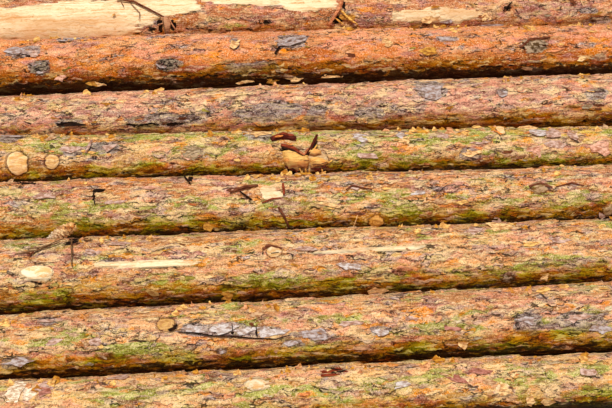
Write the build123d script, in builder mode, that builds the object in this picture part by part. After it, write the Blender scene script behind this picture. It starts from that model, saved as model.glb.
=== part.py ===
from build123d import *
import os
from math import cos, hypot, radians, sin, sqrt

# A triangular stack of pine logs, cut to one length and lying along X.
# Each tier has one log fewer than the tier below it, and every log beds in the
# valley between two logs below. Z is up, the front slope faces -Y, and the
# origin is on the floor under the middle of the stack.

# Lengths and saw cuts
log_length = 3000
end_stagger = 28
stagger_rhythm = 3.1
saw_cut_tilt = 1.2

# Logs of the front slope, from the bottom tier to the top one: diameter at
# the left end, diameter at the right end, each as a share of the mean diameter
front_diameter_shares = [
    (0.775, 0.8),
    (0.875, 1.025),
    (1.15, 1),
    (1.125, 0.95),
    (0.95, 0.775),
    (0.7875, 1),
    (1.0625, 1.05),
    (1.075, 1.0125),
]

# The front log that stands off the log in front of and below it at the right end
standoff_tier = 6
standoff = 14

# Diameters of all other logs, with butt and top ends turned about from tier to tier
mean_diameter = 160
diameter_spread = 5
spread_rhythm = 1.1
taper_per_metre = 6

# How the logs lie
side_gap = 22
seat_clearance = 0.6
sweep = 5
section_count = 3

# Branch stubs, cut off close to the bark
stub_rise = 8
stub_collar = 0.5

# Stubs on the front logs: tier, distance from mid-length, degrees above
# level on the side that faces out, and diameter
front_stubs = [
    (2, -306, 22, 44),
    (3, -581, 10, 52),
    (3, -78, 36, 42),
    (4, 562, 27, 44),
    (5, -667, 0, 50),
    (5, 18, 5, 66),
    (7, -318, 0, 50),
    (7, 633, 15, 54),
]

tier_count = len(front_diameter_shares)
half_span = log_length / 2 + 2 * end_stagger
floor_pitch = mean_diameter + side_gap
stations = [half_span * (2 * i / (section_count - 1) - 1) for i in range(section_count)]


def end_diameters(tier, place):
    """Diameters of one log at its left and right ends."""
    if place == 0:
        left, right = front_diameter_shares[tier]
        return left * mean_diameter, right * mean_diameter
    middle = mean_diameter + diameter_spread * sin(spread_rhythm * (tier * tier_count + place))
    half_taper = taper_per_metre * log_length / 1000 / 2
    if tier % 2:
        half_taper = -half_taper
    return middle - half_taper, middle + half_taper


def share_along(x):
    """How far along a log x lies, from 0 at the left end to 1 at the right end."""
    return (x + log_length / 2) / log_length


def radius_at(tier, place, x):
    """Radius of one log at a distance x from the middle of the stack."""
    left, right = end_diameters(tier, place)
    return (left + (right - left) * share_along(x)) / 2


def standoff_at(tier, place, x):
    """Gap that one log keeps from the log in front of and below it."""
    if place > 0 or tier + 1 != standoff_tier:
        return 0
    return standoff * share_along(x)


def rest_on(front, back, radius, gap=0):
    """Section that beds on two others, each given as (y, z, radius)."""
    reach_front = front[2] + radius + seat_clearance + gap
    reach_back = back[2] + radius + seat_clearance
    across = hypot(back[0] - front[0], back[1] - front[1])
    along = (reach_front**2 - reach_back**2 + across**2) / (2 * across)
    rise = sqrt(reach_front**2 - along**2)
    unit_y = (back[0] - front[0]) / across
    unit_z = (back[1] - front[1]) / across
    y = front[0] + along * unit_y - rise * unit_z
    z = front[1] + along * unit_z + rise * unit_y
    return y, z, radius


def floor_tier(x):
    """Sections of the bottom tier at x, side by side on the floor."""
    row = []
    for place in range(tier_count):
        radius = radius_at(0, place, x)
        y = place * floor_pitch + sweep * sin(place) * (1 - (x / half_span) ** 2)
        row.append((y, radius, radius))
    return row


def next_tier(below, tier, x):
    """Sections of one tier at x, each in the valley between two logs below.

    The tier is laid from the back. A log that would touch the one behind it
    rests on that one instead of on the log below it.
    """
    row = []
    for place in reversed(range(len(below) - 1)):
        radius = radius_at(tier, place, x)
        gap = standoff_at(tier, place, x)
        section = rest_on(below[place], below[place + 1], radius, gap)
        if row:
            behind = row[0]
            spacing = hypot(section[0] - behind[0], section[1] - behind[1])
            if spacing < behind[2] + radius + seat_clearance:
                section = rest_on(below[place], behind, radius, gap)
        row.insert(0, section)
    return row


def stack_sections(x):
    """Sections of every tier at x, as rows of (y, z, radius)."""
    tiers = [floor_tier(x)]
    for tier in range(1, tier_count):
        tiers.append(next_tier(tiers[-1], tier, x))
    return tiers


stack = [stack_sections(x) for x in stations]

# The stack is centred over the origin, front to back
front_edge = min(y - r for tiers in stack for row in tiers for y, z, r in row)
back_edge = max(y + r for tiers in stack for row in tiers for y, z, r in row)
middle_y = (front_edge + back_edge) / 2


def section_at(tier, place, x):
    """Section of one log at x, in line between the stations on either side."""
    pitch = stations[1] - stations[0]
    low = min(int((x - stations[0]) / pitch), section_count - 2)
    share = (x - stations[low]) / pitch
    before = stack[low][tier][place]
    after = stack[low + 1][tier][place]
    y, z, radius = (a + (b - a) * share for a, b in zip(before, after))
    return y - middle_y, z, radius


def cross_plane(tier, place, x, swing):
    """Plane across one log at x, turned about the vertical by swing degrees."""
    y, z, radius = section_at(tier, place, x)
    square = Plane(origin=(x, y, z), x_dir=(0, 1, 0), z_dir=(1, 0, 0))
    return square.rotated((0, swing, 0))


def stubs_on(tier, place):
    """Branch stubs of one log: distance along, angle and diameter."""
    if place > 0:
        return []
    return [stub[1:] for stub in front_stubs if stub[0] == tier + 1]


def section_places(left, right, stubs):
    """Distances along a log at which it has a section.

    These are the two ends, one on each side of every stub, and the stations
    between the ends that no stub covers.
    """
    places = [left, right]
    clear = [x for x in stations if left < x < right]
    for x, rise_angle, diameter in stubs:
        reach = diameter / 2 + stub_collar
        places += [x - reach, x + reach]
        clear = [station for station in clear if abs(station - x) > reach]
    return sorted(places + clear)


os.makedirs("parts", exist_ok=True)

for tier in range(tier_count):
    for place in range(tier_count - tier):
        serial = tier * tier_count + place
        shift = end_stagger * sin(stagger_rhythm * serial)
        left = shift - log_length / 2
        right = shift + log_length / 2
        swings = {left: saw_cut_tilt * sin(serial), right: saw_cut_tilt * cos(serial)}
        stubs = stubs_on(tier, place)
        with BuildPart() as log:
            for x in section_places(left, right, stubs):
                with BuildSketch(cross_plane(tier, place, x, swings.get(x, 0))):
                    Circle(section_at(tier, place, x)[2])
            loft(ruled=True)
            for x, rise_angle, diameter in stubs:
                y, z, radius = section_at(tier, place, x)
                outward = (0, -cos(radians(rise_angle)), sin(radians(rise_angle)))
                branch = Plane(origin=(x, y, z), x_dir=(1, 0, 0), z_dir=outward)
                with BuildSketch(branch.offset(radius / 2)):
                    Circle(diameter / 2)
                extrude(amount=radius / 2 + stub_rise)
        log.part.label = f"tier_{tier + 1}_log_{place + 1}"
        export_step(log.part, f"parts/{log.part.label}.step")
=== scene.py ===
from math import atan2, cos, pi, radians, sin, sqrt, tau

import bpy
import numpy as np
from mathutils import Matrix, Vector


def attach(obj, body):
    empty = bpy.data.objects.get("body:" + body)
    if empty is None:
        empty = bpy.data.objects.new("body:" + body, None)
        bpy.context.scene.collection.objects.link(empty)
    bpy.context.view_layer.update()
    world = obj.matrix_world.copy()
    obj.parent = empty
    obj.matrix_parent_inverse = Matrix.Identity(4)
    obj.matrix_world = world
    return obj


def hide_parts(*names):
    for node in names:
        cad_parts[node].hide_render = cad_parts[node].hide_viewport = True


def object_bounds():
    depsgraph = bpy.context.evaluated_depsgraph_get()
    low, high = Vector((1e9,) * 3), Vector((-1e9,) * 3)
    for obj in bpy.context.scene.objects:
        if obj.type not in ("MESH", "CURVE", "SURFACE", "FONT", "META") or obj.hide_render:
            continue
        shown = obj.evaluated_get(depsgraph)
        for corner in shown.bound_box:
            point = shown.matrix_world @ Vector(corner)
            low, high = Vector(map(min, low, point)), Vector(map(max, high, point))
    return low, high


# A stack of pine logs with thin flaking bark, seen square on to its front slope.
# Everything is in metres, in the frame of the solids: the logs lie along X and
# the front slope faces -Y. An angle round a log is 0 at its front and grows upwards.

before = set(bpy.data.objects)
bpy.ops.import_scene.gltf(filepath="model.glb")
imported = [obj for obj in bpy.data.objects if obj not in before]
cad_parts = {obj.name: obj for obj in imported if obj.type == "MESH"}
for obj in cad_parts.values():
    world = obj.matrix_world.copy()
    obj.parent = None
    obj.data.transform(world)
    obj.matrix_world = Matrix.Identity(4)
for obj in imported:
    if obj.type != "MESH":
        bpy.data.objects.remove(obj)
cad_low, cad_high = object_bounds()
tier_count = 8

# Camera
image_width = 612
image_height = 408
focal_px = 900
sensor_width = 36
camera_place = Vector((-0.1, -2.54, 0.466))
camera_yaw = radians(3)
camera_roll = radians(2.1)

# Mesh fineness
near_left = -0.84
near_right = 0.92
near_step = 0.005
far_step = 0.013
plain_ring_count = 120
plain_arc_steps = 36
front_arc = (radians(-105), radians(125))
front_arc_steps = 62
back_arc_steps = 16
end_ring_shares = (0.96, 0.75, 0.5, 0.25)

# How far the bark keeps inside the box of the solids, along X, Y and Z
bark_inset = (0, 0.0015, 0)

# Colours as they look, from 0 to 1, and how much bark and scales shine
wood_cream = (0.93, 0.83, 0.65)
wood_tan = (0.80, 0.60, 0.34)
# Brown of cracks, also used for the painted shadow lines below scales
crack_and_shadow_brown = (0.13, 0.07, 0.03)
bark_shine = 0.08
wood_shine = 0.5

# Large odd numbers that scatter whole-number places
place_factors = (374761393, 668265263, 2147483647)
seed_factor = 974711
mixing_factors = (1274126177, 2246822519)
low_bits = 0xFFFFFFFF

# Stands for a distance beyond every cell or knot
far_away = 9.0


def linear(colour):
    """A colour as it looks, turned into the linear values that nodes take."""
    return tuple(c / 12.92 if c <= 0.04045 else ((c + 0.055) / 1.055) ** 2.4 for c in colour)


def rgba(colour):
    return (*linear(colour), 1)


def add_object(name, data):
    """An object in the scene."""
    item = bpy.data.objects.new(name, data)
    bpy.context.scene.collection.objects.link(item)
    return item


# Noise that numpy works out, for shapes and masks
def lattice_value(i, j, k, seed):
    """A fixed random number from 0 to 1 for each whole-number place."""
    h = (i * place_factors[0] + j * place_factors[1] + k * place_factors[2] + seed * seed_factor) & low_bits
    h = ((h ^ (h >> 13)) * mixing_factors[0]) & low_bits
    h = ((h ^ (h >> 16)) * mixing_factors[1]) & low_bits
    return (h ^ (h >> 15)) / low_bits


def smooth_noise(x, y, z, seed):
    """Smooth noise from 0 to 1 at points given in lattice steps."""
    i, j, k = (np.floor(c).astype(np.int64) for c in (x, y, z))
    u, v, w = x - i, y - j, z - k
    u, v, w = (c * c * (3 - 2 * c) for c in (u, v, w))
    total = np.zeros_like(u)
    for a in (0, 1):
        for b in (0, 1):
            for c in (0, 1):
                weight = (u if a else 1 - u) * (v if b else 1 - v) * (w if c else 1 - w)
                total += weight * lattice_value(i + a, j + b, k + c, seed)
    return total


def layered_noise(x, y, z, seed, octaves=3):
    """Several layers of smooth noise, each half the size of the last."""
    total = np.zeros_like(x)
    reach = 0
    for octave in range(octaves):
        step = 2**octave
        total += smooth_noise(x * step, y * step, z * step, seed + octave) / step
        reach += 1 / step
    return total / reach


def patches_along(points, length, width, seed, octaves=2):
    """Noise from -0.5 to 0.5 in patches of a length and a width, at points given as x, y and z."""
    x, y, z = points
    return layered_noise(x / length, y / width, z / width, seed, octaves) - 0.5


def cells(u, v, seed):
    """Nearest cell of a jittered lattice: its random number, and how far off its middle lies."""
    i = np.floor(u).astype(np.int64)
    j = np.floor(v).astype(np.int64)
    best = np.full(u.shape, far_away)
    number, offset_u, offset_v = (np.zeros(u.shape) for field in range(3))
    for a in (-1, 0, 1):
        for b in (-1, 0, 1):
            cell = (i + a, j + b)
            du = u - (cell[0] + lattice_value(*cell, 1, seed))
            dv = v - (cell[1] + lattice_value(*cell, 2, seed))
            distance = np.hypot(du, dv)
            nearer = distance < best
            number = np.where(nearer, lattice_value(*cell, 3, seed), number)
            offset_u = np.where(nearer, du, offset_u)
            offset_v = np.where(nearer, dv, offset_v)
            best = np.where(nearer, distance, best)
    return number, offset_u, offset_v


def smooth_step(low, high, value):
    share = np.clip((value - low) / (high - low), 0, 1)
    return share * share * (3 - 2 * share)


class Log:
    """Centre line, radius and sawn ends of one log, read from its solid."""

    end_band = 0.006
    end_margin = 0.1
    ring_band = 0.0001
    ring_vertices = 80

    def __init__(self, tier, place):
        self.tier = tier
        self.place = place
        self.name = f"tier_{tier}_log_{place}"
        points = np.array([v.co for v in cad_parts[self.name].data.vertices])
        xs = points[:, 0]
        bands = [xs < xs.min() + self.end_band]
        between = (xs > xs.min() + self.end_margin) & (xs < xs.max() - self.end_margin)
        for x in np.unique(np.round(xs[between], 4)):
            band = abs(xs - x) < self.ring_band
            if band.sum() >= self.ring_vertices:
                bands.append(band)
        bands.append(xs > xs.max() - self.end_band)
        rings = []
        for band in bands:
            low = points[band].min(0)
            high = points[band].max(0)
            middle = (low + high) / 2
            rings.append((*middle, (high[2] - low[2]) / 2))
        self.rings = np.array(rings)
        self.left = rings[0][0]
        self.right = rings[-1][0]
        self.left_slope = self.slope(points[bands[0]])
        self.right_slope = self.slope(points[bands[-1]])

    @staticmethod
    def slope(points):
        """How far a sawn end runs along X for each metre of Y."""
        offsets = points - points.mean(0)
        return (offsets[:, 0] * offsets[:, 1]).sum() / (offsets[:, 1] ** 2).sum()

    def at(self, x):
        """Centre Y, centre Z and radius at X."""
        return [np.interp(x, self.rings[:, 0], self.rings[:, i]) for i in (1, 2, 3)]

    def points(self, x, angle, lift):
        """Points on the log's surface, or lifted off it."""
        y, z, radius = self.at(x)
        reach = radius + lift
        return np.stack([x, y - np.cos(angle) * reach, z + np.sin(angle) * reach], -1)

    def point(self, x, angle, lift=0.0):
        return Vector(self.points(x, angle, lift))


logs = {}
for tier in range(1, tier_count + 1):
    for place in range(1, tier_count + 2 - tier):
        logs[tier, place] = Log(tier, place)

# Camera axes, used to find which place on a log a pixel shows
forward = Vector((sin(camera_yaw), cos(camera_yaw), 0))
level_right = Vector((cos(camera_yaw), -sin(camera_yaw), 0))
image_right = level_right * cos(camera_roll) + Vector((0, 0, 1)) * -sin(camera_roll)
image_up = Vector((0, 0, 1)) * cos(camera_roll) + level_right * sin(camera_roll)
search_rounds = 6
least_half_arc = 0.002


def place_on_log(tier, px, py):
    """X and angle of the place on a front log that a pixel shows."""
    log = logs[tier, 1]
    ray = forward * focal_px + image_right * (px - image_width / 2) + image_up * (image_height / 2 - py)
    ray.normalize()
    x = 0.0
    for attempt in range(search_rounds):
        y, z, radius = log.at(x)
        offset_y = camera_place.y - y
        offset_z = camera_place.z - z
        a = ray.y**2 + ray.z**2
        b = offset_y * ray.y + offset_z * ray.z
        c = offset_y**2 + offset_z**2 - radius**2
        distance = (-b - sqrt(max(b * b - a * c, 0))) / a
        x = camera_place.x + ray.x * distance
        angle = atan2(offset_z + ray.z * distance, -(offset_y + ray.y * distance))
    return x, angle


def spot_on_log(tier, px, py, width, height):
    """Centre X, centre angle, half length and half arc of a spot given in pixels."""
    x, angle = place_on_log(tier, px, py)
    left = place_on_log(tier, px - width / 2, py)[0]
    right = place_on_log(tier, px + width / 2, py)[0]
    above = place_on_log(tier, px, py - height / 2)[1]
    below = place_on_log(tier, px, py + height / 2)[1]
    half_arc = abs(above - below) * logs[tier, 1].at(x)[2] / 2
    return x, (above + below) / 2, (right - left) / 2, max(half_arc, least_half_arc)


# What shows on the front logs, by tier and pixel of the photograph: x, y, width,
# height, and the strength where it isn't 1
peeled_spots = {
    8: [(60, 14, 180, 34), (50, 28, 200, 32), (160, 6, 90, 22), (130, 16, 60, 22), (250, -2, 120, 16),
        (310, 4, 60, 16), (440, 15, 92, 16)],
    4: [(267, 189, 20, 11, 0.66), (271, 195, 22, 10, 0.66), (350, 236, 18, 8)],
    3: [(112, 264, 52, 5), (148, 264, 84, 7), (184, 263, 40, 4), (335, 252, 50, 3), (388, 248, 84, 4),
        (36, 273, 36, 15)],
    1: [(20, 391, 30, 22), (258, 384, 26, 15), (504, 391, 18, 14)],
}
left_bark_spots = {
    8: [(16, 0, 110, 13), (40, -4, 90, 14)],
}
grey_spots = {
    8: [(590, 10, 22, 8), (600, 20, 24, 8)],
    7: [(70, 38, 26, 6), (24, 51, 38, 12), (40, 68, 22, 18), (170, 64, 26, 14), (292, 41, 34, 14),
        (250, 68, 52, 12), (448, 39, 24, 8), (235, 44, 12, 10)],
    6: [(164, 121, 74, 13), (270, 113, 72, 22), (315, 116, 24, 22), (370, 112, 32, 14), (430, 91, 32, 22),
        (597, 94, 26, 12), (70, 123, 28, 8), (502, 93, 12, 10)],
    5: [(12, 136, 28, 12), (72, 150, 26, 10), (102, 148, 36, 14), (256, 135, 34, 13), (471, 155, 22, 13)],
    3: [(508, 278, 16, 10)],
    2: [(212, 328, 80, 13), (258, 331, 56, 12), (308, 334, 40, 11, 0.7), (380, 331, 20, 12),
        (530, 325, 30, 28), (580, 322, 66, 22), (17, 364, 36, 14), (47, 320, 18, 8), (222, 351, 12, 8),
        (294, 344, 26, 8), (317, 336, 22, 16)],
}
green_spots = {
    8: [(235, 25, 24, 8)],
    5: [(90, 135, 170, 12), (260, 134, 60, 18), (360, 135, 180, 14), (60, 150, 130, 16), (210, 150, 90, 16),
        (380, 160, 110, 18), (460, 137, 120, 16), (560, 160, 120, 16), (470, 165, 80, 12),
        (150, 132, 260, 8), (330, 128, 200, 9), (450, 128, 200, 8)],
    4: [(60, 208, 130, 16), (210, 206, 160, 18), (320, 200, 120, 20), (430, 205, 120, 22),
        (560, 200, 110, 16), (130, 222, 160, 14)],
    3: [(229, 285, 22, 12), (150, 278, 60, 14), (260, 282, 90, 18), (380, 275, 60, 16), (480, 270, 60, 18),
        (20, 245, 40, 12), (230, 250, 60, 10), (560, 262, 90, 14), (60, 296, 90, 12)],
    2: [(120, 350, 120, 14), (60, 340, 80, 12), (340, 318, 60, 14), (430, 330, 90, 14), (500, 350, 80, 12)],
    1: [(130, 392, 140, 18), (300, 392, 120, 16), (420, 378, 130, 16), (560, 370, 110, 20),
        (200, 380, 80, 12)],
}
orange_spots = {
    7: [(600, 49, 30, 24, 0.6), (420, 58, 120, 14, 0.5), (120, 66, 90, 12, 0.5), (330, 62, 90, 12, 0.5)],
    5: [(42, 136, 18, 6), (95, 139, 54, 6), (78, 158, 22, 7), (170, 145, 40, 10), (225, 140, 30, 8),
        (407, 150, 26, 12), (584, 152, 18, 12), (293, 128, 34, 8), (275, 161, 8, 6), (270, 153, 10, 5),
        (150, 160, 30, 8), (500, 131, 8, 8)],
    4: [(210, 226, 16, 10), (252, 221, 12, 7), (330, 184, 24, 8), (140, 180, 40, 8)],
    3: [(229, 295, 18, 9), (110, 256, 60, 8), (460, 262, 40, 8), (200, 262, 24, 10), (540, 285, 40, 10),
        (90, 262, 20, 4)],
    2: [(163, 325, 12, 5), (200, 340, 40, 8), (420, 312, 50, 9), (70, 362, 40, 8), (130, 330, 30, 8)],
    1: [(180, 372, 60, 8), (60, 372, 40, 8), (380, 366, 40, 8), (460, 392, 40, 8)],
}
mauve_spots = {
    8: [(540, 12, 120, 24), (370, 14, 50, 26)],
    5: [(438, 137, 22, 10), (562, 137, 36, 24), (600, 150, 20, 18)],
    4: [(116, 201, 26, 7), (575, 184, 22, 9), (496, 221, 14, 7), (548, 223, 30, 12), (60, 186, 90, 12),
        (215, 188, 60, 14), (440, 186, 70, 12), (390, 180, 60, 10), (290, 205, 40, 12)],
    3: [(30, 255, 50, 14), (290, 250, 30, 14), (160, 256, 120, 9), (420, 258, 90, 10), (520, 250, 60, 12)],
    2: [(100, 322, 60, 10), (450, 306, 70, 10), (300, 312, 50, 8)],
    1: [(45, 391, 20, 18), (335, 371, 26, 18), (540, 392, 40, 12), (230, 374, 50, 10)],
}
# Many dark spots are painted shadow: under the broken stub and its bark strip on tier 5, and under the pine
# cone on tier 3; others are dark marks in the bark
dark_and_shadow_spots = {
    8: [(268, 23, 10, 10, 0.6), (508, 6, 10, 10, 0.8), (160, 25, 7, 14), (173, 26, 6, 14),
        (151, 29, 12, 4, 0.8), (338, 19, 14, 8), (344, 6, 3, 12), (192, 29, 16, 4, 0.7)],
    7: [(534, 46, 28, 14, 0.5), (34, 55, 20, 3, 0.8), (66, 41, 16, 3, 0.8), (500, 66, 60, 3, 0.7),
        (200, 76, 90, 3, 0.6)],
    6: [(67, 124, 26, 5, 0.9), (160, 124, 60, 4, 0.8)],
    5: [(293, 170, 26, 5, 0.9), (319, 168, 16, 4, 0.9), (292, 150, 26, 3), (470, 160, 20, 3, 0.8)],
    4: [(27, 183, 18, 3), (99, 190, 12, 3), (93, 197, 3, 14), (376, 228, 24, 5, 0.8), (190, 180, 6, 7)],
    3: [(263, 251, 4, 10), (74, 239, 12, 8, 0.8), (68, 242, 10, 5, 0.8), (36, 285, 40, 8, 0.5)],
    2: [(171, 328, 10, 7), (232, 330, 3, 10), (256, 331, 3, 10)],
    1: [(335, 372, 24, 3, 0.8)],
}

# Knots and cut branches on the front logs, by tier: x, y, width, height, rise in
# mm, how clean its face is, and how pale
knots = {
    7: [(168, 64, 20, 12, 4, 0, 0), (40, 68, 18, 13, 3, 0, 0), (535, 46, 24, 16, 4, 0.1, 0.1)],
    5: [(18, 164, 22, 22, 6, 1, 0.5), (52, 162, 15, 15, 3, 0.9, 0.4), (306, 161, 44, 22, 7, 0.6, 0.5),
        (501, 131, 9, 9, 4, 1, 0.6), (191, 153, 20, 16, 2, 0.3, 0.6)],
    4: [(540, 188, 18, 10, 4, 0.3, 0.2), (376, 221, 16, 12, 5, 0.9, 0.1), (608, 210, 12, 12, 3, 0.4, 0.4)],
    3: [(37, 272, 34, 14, 6, 1, 1), (274, 252, 17, 11, 4, 0.8, 0.7), (508, 278, 12, 9, 3, 0.1, 0)],
    2: [(166, 325, 18, 13, 3, 0.7, 0.15)],
    1: [(258, 384, 18, 12, 3, 0.8, 0.9)],
}

# Colours of each tier's bark at its top, middle and bottom, as they look. The bottom tints are darker as
# painted shade, and the top of tier 1 is lighter as painted light.
tier_tints_with_shading = {
    1: ((1.0, 0.80, 0.54), (0.88, 0.69, 0.44), (0.62, 0.46, 0.20)),
    2: ((0.88, 0.65, 0.45), (0.92, 0.71, 0.54), (0.80, 0.61, 0.34)),
    3: ((0.88, 0.65, 0.43), (0.96, 0.73, 0.53), (0.80, 0.60, 0.28)),
    4: ((0.86, 0.58, 0.40), (0.86, 0.63, 0.40), (0.72, 0.48, 0.18)),
    5: ((0.86, 0.74, 0.34), (0.90, 0.71, 0.48), (0.74, 0.50, 0.20)),
    6: ((0.88, 0.63, 0.52), (0.92, 0.68, 0.60), (0.78, 0.56, 0.52)),
    7: ((0.93, 0.60, 0.40), (0.87, 0.50, 0.28), (0.56, 0.21, 0.04)),
    8: ((0.80, 0.50, 0.36), (0.76, 0.46, 0.32), (0.60, 0.34, 0.18)),
}

# How much further up the painted shade on the underside of each tier reaches, at the left and at the right
tier_shade_rise = {
    1: (0.02, 0.14), 2: (-0.02, 0.0), 3: (-0.04, -0.02), 4: (0.06, 0.06),
    5: (0.06, 0.10), 6: (-0.34, -0.10), 7: (0.06, 0.14), 8: (-0.4, -0.4),
}

# How much moss and how much orange bark each tier has besides the spots above
tier_moss = {1: 0.28, 2: 0.26, 3: 0.24, 4: 0.26, 5: 0.34, 6: -0.5, 7: -0.7, 8: -0.5}
tier_amber = {1: 0.12, 2: 0.12, 3: 0.14, 4: 0.10, 5: 0.14, 6: 0.02, 7: 0.02, 8: 0.0}

# How little the bark of each tier is broken up by streaks
tier_calm = {1: 0.15, 2: 0.1, 3: 0, 4: 0, 5: 0.1, 6: 0, 7: 0.72, 8: 0.4}

# Moss on the logs behind the front ones, besides that
hidden_moss = 0.2


def ring_angles(front):
    """Angles of a log's mesh, finer on the side that faces out."""
    if not front:
        return np.linspace(-pi, pi, plain_arc_steps, endpoint=False)
    low, high = front_arc
    fine = np.linspace(low, high, front_arc_steps, endpoint=False)
    coarse = np.linspace(high, low + tau, back_arc_steps, endpoint=False)
    return np.concatenate([fine, coarse])


def ring_places(log, fine):
    """Distances along X of a log's mesh, finer where the camera looks."""
    if not fine:
        return np.linspace(log.left, log.right, plain_ring_count)
    left = np.arange(log.left, near_left, far_step)
    middle = np.arange(near_left, near_right, near_step)
    right = np.arange(near_right, log.right, far_step)
    return np.concatenate([left, middle, right, [log.right]])


def wrapped(angle):
    return (angle + pi) % tau - pi


def spot_mask(log, x, angle, radius, spots):
    """How strongly a table of spots covers each point of a front log, from 0 to 1."""
    mask = np.zeros_like(x)
    if log.place > 1 or log.tier not in spots:
        return mask
    ragged = layered_noise(x / 0.035, np.cos(angle) * 9, np.sin(angle) * 9, 77 + log.tier, 3) - 0.5
    for px, py, width, height, *strength in spots[log.tier]:
        cx, ca, half_length, half_arc = spot_on_log(log.tier, px, py, width, height)
        along = (x - cx) / half_length
        around = wrapped(angle - ca) * radius / half_arc
        distance = np.sqrt(abs(along) ** 2.6 + around**2) + ragged * 0.9
        cover = 1 - smooth_step(0.75, 1.15, distance)
        mask = np.maximum(mask, cover * (strength[0] if strength else 1))
    return mask


def knot_field(log, x, angle, radius):
    """For the nearest knot: distance as a share of its size, rise, cleanness and paleness."""
    nearest = np.full(x.shape, far_away)
    rise, clean, pale = (np.zeros_like(x) for field in range(3))
    if log.place > 1:
        return nearest, rise, clean, pale
    ragged = layered_noise(x / 0.02, np.cos(angle) * 6, np.sin(angle) * 6, 91 + log.tier, 2) - 0.5
    for px, py, width, height, knot_rise, knot_clean, knot_pale in knots.get(log.tier, []):
        cx, ca, half_width, half_arc = spot_on_log(log.tier, px, py, width, height)
        half_arc = max(half_arc, half_width * 0.4)
        distance = np.hypot((x - cx) / half_width, wrapped(angle - ca) * radius / half_arc) + ragged * 0.4
        near = distance < nearest
        nearest = np.where(near, distance, nearest)
        rise = np.where(near, knot_rise / 1000, rise)
        clean = np.where(near, knot_clean, clean)
        pale = np.where(near, knot_pale, pale)
    return np.maximum(nearest, 0), rise, clean, pale


def bark_relief(log, x, angle, radius, peeled):
    """How far the bark stands in or out at each point, in metres."""
    seed = log.tier * 40 + log.place * 7
    arc = angle * radius
    points = (x, np.cos(angle) * radius, np.sin(angle) * radius)
    swell = patches_along(points, 0.16, 0.07, seed) * 0.0045
    wander_u = patches_along(points, 0.03, 0.015, seed + 11)
    wander_v = patches_along(points, 0.03, 0.015, seed + 12)
    number, du, dv = cells(x / 0.075 + wander_u * 1.1, arc / 0.024 + wander_v * 1.1, seed + 3)
    plate = smooth_step(0.55, 0.75, number) * (0.0022 + (du + dv) * 0.0024)
    number, du, dv = cells(x / 0.03 + wander_v * 1.4, arc / 0.012 + wander_u * 1.4, seed + 5)
    scale = smooth_step(0.6, 0.8, number) * (0.0012 + (du - dv) * 0.0016)
    grain = patches_along(points, 0.04, 0.007, seed + 21, 3)
    bark = swell + plate + scale + grain * 0.0024 - 0.0026
    wood = swell - 0.0035 + grain * 0.0005
    return bark * (1 - peeled) + wood * peeled


def tint_field(log, x, angle, radius):
    """Base colour of the bark, blended round the log and broken up by noise. The darker bottom tint is
    painted shade.
    """
    top, middle, bottom = [np.array(linear(c)) for c in tier_tints_with_shading[log.tier]]
    points = (x, np.cos(angle) * radius, np.sin(angle) * radius)
    drift = patches_along(points, 0.12, 0.03, 300 + log.tier * 9 + log.place, 3)
    height = np.sin(angle) + drift * 0.9
    upper = smooth_step(0.1, 0.8, height)[:, None]
    # Painted shade: the darker bottom tint covers the underside
    lower = smooth_step(0.2, -0.45, height)[:, None]
    return (middle * (1 - upper) + top * upper) * (1 - lower) + bottom * lower


def store_colours(mesh, name, values):
    """Stores one colour a vertex, as red, green and blue."""
    layer = mesh.color_attributes.new(name, "FLOAT_COLOR", "POINT")
    full = np.ones((len(mesh.vertices), 4), np.float32)
    full[:, :3] = values
    layer.data.foreach_set("color", full.ravel())


def sawn_end(rim_points, first, start, turned):
    """Rings and pith of a sawn end, with the quads and the fan of faces between them.

    The outermost ring's points count from first, and the new points from start.
    """
    columns = np.arange(len(rim_points))
    centre = rim_points.mean(0)
    previous = first + columns
    points, quads = [], []
    for share in end_ring_shares:
        points.append(centre + (rim_points - centre) * share)
        inner = start + columns
        start += len(columns)
        quads.append(np.stack([previous, inner, np.roll(inner, -1), np.roll(previous, -1)], 1))
        previous = inner
    points.append(centre[None, :])
    fan = np.stack([previous, np.full(len(columns), start), np.roll(previous, -1)], 1)
    if turned:
        quads = [quad[:, ::-1] for quad in quads]
        fan = fan[:, ::-1]
    return points, quads, fan


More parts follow.
